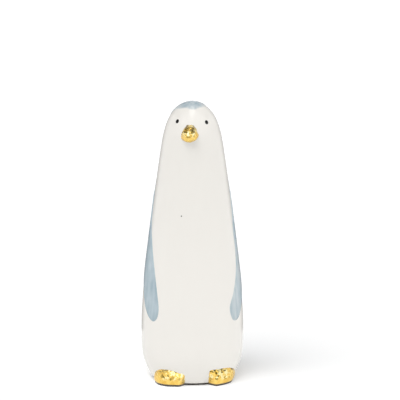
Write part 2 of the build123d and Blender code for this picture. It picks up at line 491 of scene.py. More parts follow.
def new_material(name):
    """A material with an empty tree, and the call that adds nodes to it."""
    material = bpy.data.materials.new(name)
    material.use_nodes = True
    material.node_tree.nodes.clear()
    return material, partial(add_node, material.node_tree)


def end_material(add, wires, kind="ShaderNodeBsdfPrincipled"):
    """Ends a material's tree in its surface shader."""
    add("ShaderNodeOutputMaterial", {"Surface": add(kind, wires)})


def new_tree(name, inputs):
    """A geometry tree with the named inputs and one output, and the call that adds nodes to it."""
    tree = bpy.data.node_groups.new(name, "GeometryNodeTree")
    for label, kind in inputs.items():
        tree.interface.new_socket(label, in_out="INPUT", socket_type=kind)
    tree.interface.new_socket("Geometry", in_out="OUTPUT", socket_type="NodeSocketGeometry")
    return tree, partial(add_node, tree)


def end_tree(add, geometry, material):
    """Ends a geometry tree in plain geometry with its material."""
    real = add("GeometryNodeRealizeInstances", {"Geometry": geometry})
    smooth = add("GeometryNodeSetShadeSmooth", {"Geometry": real})
    painted = add("GeometryNodeSetMaterial", {"Geometry": smooth, "Material": material})
    add("NodeGroupOutput", {"Geometry": painted})


def settle(piece, tree, values):
    """Runs a geometry tree on a piece and keeps the result as its plain mesh."""
    modifier = piece.modifiers.new(tree.name, "NODES")
    modifier.node_group = tree
    for item in tree.interface.items_tree:
        if item.in_out == "INPUT" and item.name in values:
            modifier[item.identifier] = values[item.name]
    depsgraph = bpy.context.evaluated_depsgraph_get()
    made = bpy.data.meshes.new_from_object(
        piece.evaluated_get(depsgraph), preserve_all_data_layers=True, depsgraph=depsgraph
    )
    piece.modifiers.remove(modifier)
    before = piece.data
    piece.data = made
    bpy.data.meshes.remove(before)


# Materials

SLIP = "brushed_blue_slip_under_glaze"
GOLD = "fired_gold_lustre"

# Heights over which bare clay, painted dark as a contact shadow line, gives way to the glaze of the body and
# to the gold of the feet
GLAZE_LINE = (1.0 * MM, 1.2 * MM)
GOLD_LINE = (1.0 * MM, 1.15 * MM)

# Glaze: the height below which its colour is whitened towards the base as painted light, the sizes of its
# clouds and waves, and its gloss
PAINTED_LIGHT_TOP = 125 * MM
CLOUD_SIZE = 30 * MM
CLOUD_SHARE = 0.2
GLAZE_WAVE_SIZE = 11 * MM
GLAZE_WAVE_DEPTH = 0.4 * MM
GLAZE_WAVE_STRENGTH = 0.25
GLAZE_ROUGHNESS = 0.13
CLAY_ROUGHNESS = 0.75

# Iron speck: its place on the breast, and the radii of its core and its rim
SPECK_HEIGHT = 86 * MM
SPECK_TURN = math.radians(-15.8)
SPECK_RADII = (0.2 * MM, 0.42 * MM)


def glaze_material(finish):
    """Clear glaze over white earthenware, dipped and fired.

    The eye sees a warm white with a soft gloss, painted light that whitens the colour towards the base over
    faint random clouds, slow waves in the reflections, one iron speck on the breast, and bare clay under the
    foot ring painted dark as a contact shadow line.
    """
    material, add = new_material("clear_glaze_on_white_earthenware")
    place = add("ShaderNodeTexCoord").outputs["Object"]
    height = add("ShaderNodeSeparateXYZ", {0: place}).outputs["Z"]
    # Painted light: the colour is whitened from this height down to the base, with random clouds mixed in
    painted_light_ramp = add("ShaderNodeMapRange", {"Value": height, "From Min": PAINTED_LIGHT_TOP, "From Max": 0.0})
    clouds = add("ShaderNodeTexNoise", {"Vector": place, "Scale": 1 / CLOUD_SIZE, "Detail": 2.0})
    uneven = add("ShaderNodeMapRange", {"Value": clouds, "To Min": -CLOUD_SHARE, "To Max": CLOUD_SHARE})
    painted_light_and_clouds = add("ShaderNodeMath", {0: painted_light_ramp, 1: uneven}, operation="ADD", use_clamp=True)
    tint = add(
        "ShaderNodeMix",
        {"Factor": painted_light_and_clouds, "A": linear(finish.glaze), "B": linear(finish.painted_light_glaze)},
        data_type="RGBA",
    )
    speck_place = skin.points(skin.at_height(SPECK_HEIGHT), SPECK_TURN, 0.0).tolist()
    distance = add("ShaderNodeVectorMath", {0: place, 1: speck_place}, operation="DISTANCE")
    core, rim = SPECK_RADII
    clear = add("ShaderNodeMapRange", {"Value": distance, "From Min": core, "From Max": rim})
    speckled = add(
        "ShaderNodeMix", {"Factor": clear, "A": linear(finish.speck), "B": tint}, data_type="RGBA"
    )
    # Painted shade: the bare clay below this line is coloured dark as a contact shadow
    low, high = GLAZE_LINE
    glazed = add("ShaderNodeMapRange", {"Value": height, "From Min": low, "From Max": high})
    footed = add(
        "ShaderNodeMix", {"Factor": glazed, "A": linear(finish.clay_painted_shade), "B": speckled}, data_type="RGBA"
    )
    gloss = add(
        "ShaderNodeMapRange", {"Value": glazed, "To Min": CLAY_ROUGHNESS, "To Max": GLAZE_ROUGHNESS}
    )
    waves = add("ShaderNodeTexNoise", {"Vector": place, "Scale": 1 / GLAZE_WAVE_SIZE, "Detail": 1.5})
    bump = add(
        "ShaderNodeBump", {"Height": waves, "Strength": GLAZE_WAVE_STRENGTH, "Distance": GLAZE_WAVE_DEPTH}
    )
    end_material(add, {"Base Color": footed, "Roughness": gloss, "Normal": bump})
    return material


# Slip: the brush's streaks and patches, the load over which it deepens, and its gloss
STREAK_WIDTH = 2.2 * MM
STREAK_LENGTH = 26 * MM
STREAK_DEPTH = 0.3 * MM
STREAK_STRENGTH = 0.12
PATCH_SIZE = 9 * MM
LOAD_RANGE = (0.7, 1.3)
UNEVEN_SHARE = 0.7
DRY_SHARE = 0.3
COVER_RANGE = (0.12, 0.88)
SLIP_ROUGHNESS = 0.2


def slip_material(finish):
    """Grey-blue slip brushed on under the clear glaze.

    The eye sees long soft streaks of the brush, deeper where the slip is thick, and an edge
    that fades into the white below.
    """
    material, add = new_material(SLIP)
    place = add("ShaderNodeTexCoord").outputs["Object"]
    cover = add("ShaderNodeAttribute", attribute_name="cover").outputs["Fac"]
    streak_scale = (1 / STREAK_WIDTH, 1 / STREAK_WIDTH, 1 / STREAK_LENGTH)
    lengthwise = add("ShaderNodeMapping", {"Vector": place, "Scale": streak_scale})
    streaks = add("ShaderNodeTexNoise", {"Vector": lengthwise, "Scale": 1.0, "Detail": 3.0})
    patches = add("ShaderNodeTexNoise", {"Vector": place, "Scale": 1 / PATCH_SIZE, "Detail": 2.0})
    load = add("ShaderNodeMath", {0: streaks, 1: patches}, operation="ADD")
    low, high = LOAD_RANGE
    ramp = add("ShaderNodeMapRange", {"Value": load, "From Min": low, "From Max": high})
    uneven = add(
        "ShaderNodeMix",
        {"Factor": ramp, "A": linear(finish.slip_thin), "B": linear(finish.slip_deep)},
        data_type="RGBA",
    )
    body = add(
        "ShaderNodeMix", {"Factor": UNEVEN_SHARE, "A": linear(finish.slip), "B": uneven}, data_type="RGBA"
    )
    dry = add("ShaderNodeMapRange", {"Value": streaks, "To Min": -DRY_SHARE, "To Max": DRY_SHARE})
    brushed = add("ShaderNodeMath", {0: cover, 1: dry}, operation="ADD")
    low, high = COVER_RANGE
    laid = add("ShaderNodeMapRange", {"Value": brushed, "From Min": low, "From Max": high})
    painted = add("ShaderNodeMix", {"Factor": laid, "A": linear(finish.glaze), "B": body}, data_type="RGBA")
    bump = add("ShaderNodeBump", {"Height": streaks, "Strength": STREAK_STRENGTH, "Distance": STREAK_DEPTH})
    end_material(add, {"Base Color": painted, "Roughness": SLIP_ROUGHNESS, "Normal": bump})
    return material


# Gold: the film's patches and its tones, the facets' warp and how the cells are shared out among plain ones,
# painted highlights and painted dark reflections, how the painted dark patches break up, and the grain and
# gloss of the film
FILM_SIZE = 2.5 * MM
TONE_RANGE = (0.3, 0.6)
WARP_SIZE = 1.4 * MM
WARP_REACH = 1.2 * MM
PAINTED_HIGHLIGHT_RANGE = (0.56, 0.72)
PAINTED_DARK_RANGE = (0.19, 0.09)
PAINTED_PATCH_RANGE = (0.22, 0.5)
PAINTED_PATCH_MOST = 0.85
GRAIN_SIZE = 0.9 * MM
GRAIN_DEPTH = 0.3 * MM
GRAIN_STRENGTH = 0.5
GOLD_ROUGHNESS = (0.08, 0.26)


def gold_material(finish):
    """Liquid bright gold painted over the glaze and fired to a thin film.

    The eye sees a mirror-like pale yellow metal on an uneven ground: facets painted near-white as highlights,
    a few facets and patches painted brown as dark reflections, and a slightly deeper tone where the film ran
    thick.
    """
    material, add = new_material(GOLD)
    place = add("ShaderNodeTexCoord").outputs["Object"]
    film = add("ShaderNodeTexNoise", {"Vector": place, "Scale": 1 / FILM_SIZE, "Detail": 2.0})
    low, high = TONE_RANGE
    tone = add("ShaderNodeMapRange", {"Value": film, "From Min": low, "From Max": high})
    coat = add(
        "ShaderNodeMix",
        {"Factor": tone, "A": linear(finish.gold_deep), "B": linear(finish.gold)},
        data_type="RGBA",
    )
    painted_facets = add("ShaderNodeAttribute", attribute_name="painted_facets").outputs["Fac"]
    warp = add("ShaderNodeTexNoise", {"Vector": place, "Scale": 1 / WARP_SIZE, "Detail": 1.0})
    warp = add("ShaderNodeVectorMath", {0: warp.outputs["Color"], "Scale": WARP_REACH}, operation="SCALE")
    warped = add("ShaderNodeVectorMath", {0: place, 1: warp}, operation="ADD")
    cells = add("ShaderNodeTexVoronoi", {"Vector": warped, "Scale": 1 / finish.facet_size})
    pick = add("ShaderNodeSeparateColor", {0: cells.outputs["Color"]})
    painted_dark_patch = add("ShaderNodeAttribute", attribute_name="painted_dark_patch").outputs["Fac"]
    ragged = add("ShaderNodeMath", {0: film, 1: painted_dark_patch}, operation="MULTIPLY")
    # Painted light: pale facets are painted highlights, and brown facets and patches are painted dark
    # reflections
    layers = (
        (finish.gold_painted_highlight, pick, PAINTED_HIGHLIGHT_RANGE, painted_facets),
        (finish.gold_painted_dark_reflection, pick, PAINTED_DARK_RANGE, painted_facets),
        (finish.gold_painted_dark_reflection, ragged, PAINTED_PATCH_RANGE, PAINTED_PATCH_MOST),
    )
    for shade, value, (low, high), most in layers:
        chosen = add(
            "ShaderNodeMapRange", {"Value": value, "From Min": low, "From Max": high, "To Max": most}
        )
        coat = add("ShaderNodeMix", {"Factor": chosen, "A": coat, "B": linear(shade)}, data_type="RGBA")
    height = add("ShaderNodeSeparateXYZ", {0: place}).outputs["Z"]
    # Painted shade: the bare clay of the sole below this line is coloured dark as a contact shadow
    low, high = GOLD_LINE
    gilt = add("ShaderNodeMapRange", {"Value": height, "From Min": low, "From Max": high})
    soled = add("ShaderNodeMix", {"Factor": gilt, "A": linear(finish.clay_painted_shade), "B": coat}, data_type="RGBA")
    grain = add("ShaderNodeTexNoise", {"Vector": place, "Scale": 1 / GRAIN_SIZE, "Detail": 2.0})
    low, high = GOLD_ROUGHNESS
    gloss = add("ShaderNodeMapRange", {"Value": grain, "To Min": low, "To Max": high})
    bump = add("ShaderNodeBump", {"Height": grain, "Strength": GRAIN_STRENGTH, "Distance": GRAIN_DEPTH})
    end_material(add, {"Base Color": soled, "Metallic": gilt, "Roughness": gloss, "Normal": bump})
    return material


# Enamel: its pits and its gloss
PIT_SIZE = 0.5 * MM
ENAMEL_ROUGHNESS = (0.2, 0.4)
ENAMEL_SPECULAR = 0.25


def enamel_material(finish):
    """Black overglaze enamel, laid on in one drop and fired.

    The eye sees a domed, wet-looking black with a small bright reflection.
    """
    material, add = new_material("black_overglaze_enamel")
    place = add("ShaderNodeTexCoord").outputs["Object"]
    pits = add("ShaderNodeTexNoise", {"Vector": place, "Scale": 1 / PIT_SIZE, "Detail": 2.0})
    low, high = ENAMEL_ROUGHNESS
    gloss = add("ShaderNodeMapRange", {"Value": pits, "To Min": low, "To Max": high})
    black = linear(finish.enamel)
    end_material(add, {"Base Color": black, "Roughness": gloss, "Specular IOR Level": ENAMEL_SPECULAR})
    return material


# Geometry trees

HAMMERED = "hammered_piece"

# Dents and wrinkles in the gold: their forms, their mean, and the heights over which they set in
DENT_SMOOTHNESS = 0.2
WRINKLE_SIZE = 1.1 * MM
WRINKLE_SHARE = 0.55
MEAN_RELIEF = 0.75
RELIEF_HEIGHTS = (0.6 * MM, 5.5 * MM)


def turned_body_tree():
    """Turns an outline in the XZ plane, inner crown first, into a closed hollow body."""
    tree, add = new_tree(
        "turned_body",
        {"Outline": "NodeSocketGeometry", "Segments": "NodeSocketInt", "Finish": "NodeSocketMaterial"},
    )
    given = add("NodeGroupInput").outputs
    outline = given["Outline"]
    rows = add("GeometryNodeAttributeDomainSize", {"Geometry": outline}).outputs["Point Count"]
    columns = add("ShaderNodeMath", {0: given["Segments"], 1: 1.0}, operation="ADD")
    grid = add(
        "GeometryNodeMeshGrid", {"Size X": 1.0, "Size Y": 1.0, "Vertices X": columns, "Vertices Y": rows}
    )
    place = add("GeometryNodeInputPosition")
    across = add("ShaderNodeSeparateXYZ", {0: place}).outputs["X"]
    turn = add("ShaderNodeMath", {0: across, 1: math.tau, 2: math.pi / 2}, operation="MULTIPLY_ADD")
    index = add("GeometryNodeInputIndex")
    row = add("ShaderNodeMath", {0: index, 1: rows}, operation="MODULO")
    sample = add(
        "GeometryNodeSampleIndex",
        {"Geometry": outline, "Value": place, "Index": row},
        data_type="FLOAT_VECTOR",
    )
    point = add("ShaderNodeVectorRotate", {"Vector": sample, "Angle": turn}, rotation_type="Z_AXIS")
    turned = add("GeometryNodeSetPosition", {"Geometry": grid, "Position": point})
    joined = add("GeometryNodeMergeByDistance", {"Geometry": turned, "Distance": SEAM_DISTANCE})
    end_tree(add, joined, given["Finish"])
    return tree


def hammered_tree():
    """Presses shallow dents and wrinkles into a gold piece, leaving its sole flat."""
    tree, add = new_tree(
        HAMMERED,
        {
            "Piece": "NodeSocketGeometry",
            "Dent size": "NodeSocketFloat",
            "Dent depth": "NodeSocketFloat",
            "Seed": "NodeSocketFloat",
            "Finish": "NodeSocketMaterial",
        },
    )
    given = add("NodeGroupInput").outputs
    place = add("GeometryNodeInputPosition")
    scale = add("ShaderNodeMath", {0: 1.0, 1: given["Dent size"]}, operation="DIVIDE")
    dents = add(
        "ShaderNodeTexVoronoi",
        {"Vector": place, "W": given["Seed"], "Scale": scale, "Smoothness": DENT_SMOOTHNESS},
        voronoi_dimensions="4D",
        feature="SMOOTH_F1",
    )
    wrinkles = add(
        "ShaderNodeTexNoise",
        {"Vector": place, "W": given["Seed"], "Scale": 1 / WRINKLE_SIZE, "Detail": 2.0},
        noise_dimensions="4D",
    )
    relief = add("ShaderNodeMath", {0: wrinkles, 1: WRINKLE_SHARE, 2: dents}, operation="MULTIPLY_ADD")
    centred = add("ShaderNodeMath", {0: relief, 1: MEAN_RELIEF}, operation="SUBTRACT")
    height = add("ShaderNodeSeparateXYZ", {0: place}).outputs["Z"]
    low, high = RELIEF_HEIGHTS
    depth = add(
        "ShaderNodeMapRange",
        {"Value": height, "From Min": low, "From Max": high, "To Max": given["Dent depth"]},
    )
    push = add("ShaderNodeMath", {0: centred, 1: depth}, operation="MULTIPLY")
    normal = add("GeometryNodeInputNormal")
    offset = add("ShaderNodeVectorMath", {0: normal, "Scale": push}, operation="SCALE")
    moved = add("GeometryNodeSetPosition", {"Geometry": given["Piece"], "Offset": offset})
    end_tree(add, moved, given["Finish"])
    return tree


# Pieces


def lay_coat(name, node, along, turn, lift, cover, faces, finish):
    """A closed coat of slip on the skin, with how well the brush covers each of its points."""
    material = bpy.data.materials.get(SLIP) or slip_material(finish)
    outer = skin.points(along, turn, lift)
    inner = skin.points(along, turn, -COAT_ROOT)
    points, faces = closed_coat(outer, inner, faces)
    piece = new_piece(name, points, faces, material)
    mark(piece, "cover", np.concatenate([cover, cover]))
    close_poles(piece)
    dress(piece, node)


def gild(name, node, points, faces, painted_facets, painted_dark_patch, dent_depth, seed, finish):
    """A hammered gold piece, with how far each of its points shows painted facet highlights and dark
    reflections, and painted dark patches.

    Diffuse rays pass it by, so it throws no gold glow on the floor.
    """
    material = bpy.data.materials.get(GOLD) or gold_material(finish)
    tree = bpy.data.node_groups.get(HAMMERED) or hammered_tree()
    piece = new_piece(name, points, faces, material)
    mark(piece, "painted_facets", painted_facets)
    mark(piece, "painted_dark_patch", painted_dark_patch)
    close_poles(piece)
    values = {"Dent size": finish.dent_size, "Dent depth": dent_depth, "Seed": seed, "Finish": material}
    settle(piece, tree, values)
    piece.visible_diffuse = False
    dress(piece, node)


# Rows of the outer skin for each row of the hidden inner one
INNER_ROW_STRIDE = 3


class PENGUIN_OT_body(bpy.types.Operator):
    """Turns the hollow glazed body on its foot ring"""

    bl_idname = "penguin.body"
    bl_label = "Glazed body"

    def execute(self, context):
        settings = context.scene.penguin
        body = settings.body
        soft = body.edge_round
        along = np.linspace(0, skin.along[-1], int(skin.along[-1] / body.row_step))
        outer = np.stack(skin.line(along, 0.0), axis=1)
        ring = outer[0, 0] - body.ring_width
        outer = outer[outer[:, 1] > body.gap_height]
        gap = outer[0, 0] - body.gap_depth
        radius, height = skin.line(along[::INNER_ROW_STRIDE], -body.wall)
        inner = np.stack([np.maximum(radius, 0), height], axis=1)
        inner = inner[inner[:, 1] > body.wall + soft][::-1]
        inner[0, 0] = 0
        under = [
            (inner[-1, 0] - soft, body.wall),
            (body.vent_radius + soft, body.wall),
            (body.vent_radius, body.wall - soft),
            (body.vent_radius, body.ring_depth + soft),
            (body.vent_radius + soft, body.ring_depth),
            (ring - soft, body.ring_depth),
            (ring, body.ring_depth - soft),
            (ring, soft),
            (ring + soft, 0.0),
            (gap - soft, 0.0),
            (gap, soft),
            (gap, body.gap_height),
            (outer[0, 0] - soft, body.gap_height),
        ]
        points = [(r, 0.0, h) for r, h in np.vstack([inner, under, outer])]
        material = glaze_material(settings.finish)
        piece = new_piece("glazed_body", points, [], material)
        settle(piece, turned_body_tree(), {"Segments": body.segments, "Finish": material})
        dress(piece, "body_shell")
        return {"FINISHED"}


# Mantle: points of its lines, how steeply the brow cuts in, and how softly it meets the side edge
LINE_POINTS = 200
BROW_SLOPE = 1.6
EDGE_BLEND = 1.0 * MM
# Waves of the brush's straying: their sizes up the body, and how they swing round it
SHORT_STRAY = 4.3 * MM
SHORT_STRAY_SWING = 3
LONG_STRAY = 9 * MM
LONG_STRAY_SWING = 2.7
# Distances inside the edge over which the coat rises and its edge comes up out of the skin, the
# width of mesh kept outside it, and the shares of the feather that the colour fades over
COAT_RISE = (-0.2 * MM, 2.2 * MM)
EDGE_RISE = (-0.8 * MM, -0.1 * MM)
EDGE_MARGIN = 1.5 * MM
FEATHER_SHARES = (-0.35, 0.65)
# Paler slip at the front of the crown: where it lies, how much paler it is in the middle, and how much paler
# it gets to the left and to the right
BROW_DEPTHS = (7 * MM, -1 * MM)
BROW_HEIGHTS = (130 * MM, 134 * MM)
BROW_SIDE = (2 * MM, 8 * MM)
BROW_PALER_SHARE = 0.26
LEFT_PALER_SHARE = 0.2
RIGHT_PALER_SHARE = 0.08


class PENGUIN_OT_mantle(bpy.types.Operator):
    """Brushes the slip coat over the crown and back"""

    bl_idname = "penguin.mantle"
    bl_label = "Slip mantle"

    def execute(self, context):
        settings = context.scene.penguin
        mantle = settings.mantle
        edge = smooth_line(np.array(MANTLE_EDGE_SHARES) * (hip_radius, crown), LINE_POINTS)[::-1]
        start = skin.at_height(edge[0, 1])
        rows = int((skin.along[-1] - start) / mantle.cell)
        columns = int(math.tau * hip_radius / mantle.cell)
        along = np.linspace(start, skin.along[-1], rows)
        turn = np.linspace(0, math.tau, columns, endpoint=False)
        along, turn = (grid.ravel() for grid in np.meshgrid(along, turn, indexing="ij"))
        x, y, z = skin.points(along, turn, 0.0).T
        behind = y - np.interp(z, edge[:, 1], edge[:, 0])
        brow = smooth_line(BROW_LINE, LINE_POINTS)
        level = (turn + math.pi) % math.tau - math.pi
        brow = crown - MM * np.interp(np.degrees(level), brow[:, 0], brow[:, 1])
        above = BROW_SLOPE * (z - brow)
        inside = (behind + above + np.hypot(behind - above, EDGE_BLEND)) / 2
        stray = np.sin(z / SHORT_STRAY + SHORT_STRAY_SWING * np.sin(turn))
        stray *= np.sin(LONG_STRAY_SWING * turn + z / LONG_STRAY)
        inside = inside + mantle.wander * stray
        lift = mantle.thickness * smooth_step(*COAT_RISE, inside)
        lift -= COAT_SINK * (1 - smooth_step(*EDGE_RISE, inside))
        faint, full = FEATHER_SHARES
        cover = smooth_step(faint * mantle.feather, full * mantle.feather, inside)
        paler = BROW_PALER_SHARE + LEFT_PALER_SHARE * smooth_step(*BROW_SIDE, x)
        paler += RIGHT_PALER_SHARE * smooth_step(*BROW_SIDE, -x)
        cover = cover * (1 - paler * smooth_step(*BROW_DEPTHS, y) * smooth_step(*BROW_HEIGHTS, z))
        keep = inside > -EDGE_MARGIN
        faces = np.array([face for face in ring_faces(rows, columns) if keep[list(face)].any()])
        used, faces = np.unique(faces, return_inverse=True)
        faces = [tuple(face) for face in faces.reshape(-1, 4).tolist()]
        coat = (values[used] for values in (along, turn, lift, cover))
        lay_coat("slip_mantle", "mantle", *coat, faces, settings.finish)
        return {"FINISHED"}


# Flippers: mesh points, how the colour fades at the edge, the heights over which the rear edge runs
# into the mantle, and how much slip the brush held for each flipper
FLIPPER_OUTLINE_POINTS = 400
FLIPPER_ROWS, FLIPPER_COLUMNS = 110, 41
FLIPPER_FADE = (-0.5 * MM, 0.8 * MM)
JOINED_HEIGHTS = (56 * MM, 68 * MM)
RIGHT_LOAD_SHARE = 1.0
LEFT_LOAD_SHARE = 0.8


class PENGUIN_OT_flippers(bpy.types.Operator):
    """Lays the two low flippers on the body's sides"""

    bl_idname = "penguin.flippers"
    bl_label = "Flippers"

    def execute(self, context):
        settings = context.scene.penguin
        right, left = settings.flipper.right_swing, settings.flipper.left_swing
        self.lay(settings, "right_flipper", -1, right, RIGHT_FLIPPER_SHARES, RIGHT_LOAD_SHARE)
        self.lay(settings, "left_flipper", 1, left, LEFT_FLIPPER_SHARES, LEFT_LOAD_SHARE)
        return {"FINISHED"}

    def lay(self, settings, node, side, swing, shares, load):
        """One flipper on the side +1 or -1, with its share of slip on the brush."""
        flipper = settings.flipper
        rows, columns = FLIPPER_ROWS, FLIPPER_COLUMNS
        outline = np.array(shares) * (flipper.length, flipper.width)
        outline = smooth_line(outline, FLIPPER_OUTLINE_POINTS, closed=True)
        top, tip = outline[:, 0].argmin(), outline[:, 0].argmax()
        outline = np.roll(outline, -top, axis=0)
        tip = (tip - top) % len(outline)
        front_edge = outline[: tip + 1]
        rear_edge = np.vstack([outline[tip:], outline[:1]])[::-1]
        sweep = (1 - np.cos(np.linspace(0, math.pi, rows))) / 2
        down = front_edge[0, 0] + (front_edge[-1, 0] - front_edge[0, 0]) * sweep
        fore = np.interp(down, front_edge[:, 0], front_edge[:, 1])
        aft = np.interp(down, rear_edge[:, 0], rear_edge[:, 1])
        across = (1 - np.cos(np.linspace(0, math.pi, columns))) / 2
        grid = aft[:, None] + (fore - aft)[:, None] * across[None, :]
        flat = np.stack([np.repeat(down[:, None], columns, axis=1), grid], axis=-1).reshape(-1, 2)
        inset = np.linalg.norm(flat[:, None] - outline[None], axis=2).min(axis=1)
        along = np.array([-math.sin(swing), -math.cos(swing)])
        forward = np.array([along[1], -along[0]])
        shoulder = np.array([flipper.shoulder_setback, flipper.shoulder_height])
        depth, height = (shoulder + flat[:, :1] * along + flat[:, 1:] * forward).T
        on_line = skin.at_height(height)
        radius = skin.line(on_line, 0.0)[0]
        turn = np.arctan2(side * np.sqrt(np.maximum(radius**2 - depth**2, 0)), -depth)
        lift = flipper.relief * smooth_step(0, flipper.feather, inset) - COAT_SINK
        is_rear = np.tile(across < 0.5, rows)
        joined = is_rear * smooth_step(*JOINED_HEIGHTS, height)
        cover = load * np.maximum(smooth_step(*FLIPPER_FADE, inset), joined)
        faces = []
        for i in range(rows - 1):
            for j in range(columns - 1):
                a = i * columns + j
                face = (a, a + columns, a + columns + 1, a + 1)
                faces.append(face if side > 0 else face[::-1])
        lay_coat(f"{node}_relief", node, on_line, turn, lift, cover, faces, settings.finish)


# Beak: mesh points, its dents' seed, the shares of its radius over which the painted facet highlights and
# reflections set in going up, and the shares of a painted dark patch's size over which it fades
BEAK_ROWS, BEAK_COLUMNS = 46, 120
BEAK_SEED = 7.0
BEAK_FACET_SHARES = (-0.1, 0.35)
PAINTED_PATCH_FADES = (1.3, 0.5)


class PENGUIN_OT_beak(bpy.types.Operator):
    """Presses the gold beak on to the face"""

    bl_idname = "penguin.beak"
    bl_label = "Gold beak"

    def execute(self, context):
        settings = context.scene.penguin
        face, finish = settings.face, settings.finish
        seat = skin.points(skin.at_height(crown - face.beak_drop), face.beak_turn, 0.0)
        forward = facing(face.beak_turn) * math.cos(face.beak_dip) - UP * math.sin(face.beak_dip)
        side = sideways(face.beak_turn)
        top = np.cross(forward, side)
        nose = smooth_line(np.array(BEAK_SHARES) * (face.beak_length, face.beak_radius), BEAK_ROWS)[:-1]
        root = [(-face.beak_root, face.beak_radius), (-face.beak_root / 2, face.beak_radius)]
        outline = np.vstack([root, nose])
        section = smooth_line(BEAK_SECTION_SHARES, BEAK_COLUMNS, closed=True)
        turn = np.unwrap(np.arctan2(section[:, 1], section[:, 0]))
        circle = np.stack([np.cos(turn), np.sin(turn)], axis=1) + (0, face.beak_tip_lift)
        points = []
        for reach, radius in outline:
            rounded = max(reach, 0) / face.beak_length
            ring = radius * ((1 - rounded) * section + rounded * circle)
            points.append(seat + forward * reach + np.outer(ring[:, 0], side) + np.outer(ring[:, 1], top))
        points, faces = capped(np.vstack(points), len(outline), BEAK_COLUMNS)
        across = (points - seat) @ side / face.beak_radius
        rise = (points - seat) @ top / face.beak_radius
        # Painted highlights and dark reflections on the upper beak, and painted dark patches beside its ridge
        painted_facets = smooth_step(*BEAK_FACET_SHARES, rise)
        painted_dark_patch = np.zeros(len(points))
        clear, full = PAINTED_PATCH_FADES
        for left, up, size in BEAK_PAINTED_PATCHES:
            away = np.hypot(across - left, rise - up)
            painted_dark_patch = np.maximum(painted_dark_patch, smooth_step(clear * size, full * size, away))
        gild("gold_beak", "beak", points, faces, painted_facets, painted_dark_patch, finish.beak_dent_depth, BEAK_SEED, finish)
        return {"FINISHED"}


# Eyes: mesh points, the share of the radius where the top row lies, the roundness of the dome, how
# far its edge lies under the skin and its root under its edge, and its width and height as shares
# of the radius
EYE_ROWS, EYE_COLUMNS = 9, 40
EYE_TOP_SHARE = 0.1
EYE_DOME_POWER = 2.6
EYE_SINK = 0.08 * MM
EYE_ROOT = 0.3 * MM
EYE_WIDTH_SHARE = 0.94
EYE_HEIGHT_SHARE = 1.06


class PENGUIN_OT_eyes(bpy.types.Operator):
    """Sets the two enamel eyes on the face"""

    bl_idname = "penguin.eyes"
    bl_label = "Enamel eyes"

    def execute(self, context):
        settings = context.scene.penguin
        face = settings.face
        material = enamel_material(settings.finish)
        self.drop(face, material, "right_eye", face.right_eye_drop, face.right_eye_turn)
        self.drop(face, material, "left_eye", face.left_eye_drop, face.left_eye_turn)
        return {"FINISHED"}

    def drop(self, face, material, node, below_crown, turn):
        """One domed dot of enamel."""
        along = skin.at_height(crown - below_crown)
        seat = skin.points(along, turn, 0.0)
        out = skin.points(along, turn, 1.0) - seat
        side = sideways(turn) * EYE_WIDTH_SHARE
        top = np.cross(out, sideways(turn)) * EYE_HEIGHT_SHARE
        angles = np.linspace(0, math.tau, EYE_COLUMNS, endpoint=False)
        circle = np.outer(np.cos(angles), side) + np.outer(np.sin(angles), top)
        points = []
        for share in np.linspace(1.0, EYE_TOP_SHARE, EYE_ROWS):
            rise = face.eye_relief * (1 - share**EYE_DOME_POWER) - EYE_SINK
            points.append(seat + out * rise + circle * face.eye_radius * share)
        points.insert(0, points[0] - out * EYE_ROOT)
        points, faces = capped(np.vstack(points), EYE_ROWS + 1, EYE_COLUMNS)
        piece = new_piece(f"{node}_dot", points, faces, material)
        close_poles(piece)
        dress(piece, node)


# Feet: mesh points, the seeds of their dents, and where the painted facet highlights and reflections and the
# left foot's painted dark patch lie, by height and by the share of the length from the outer end
FOOT_ROWS, FOOT_COLUMNS = 90, 200
RIGHT_FOOT_SEED = 11.0
LEFT_FOOT_SEED = 17.0
FOOT_FACET_HEIGHTS = (2.4 * MM, 4.6 * MM)
FOOT_FACET_SHARES = (0.3, 0.55)
FOOT_PAINTED_PATCH_HEIGHTS = (5.2 * MM, 6.8 * MM)
FOOT_PAINTED_PATCH_SPAN = (0.42, 0.24)


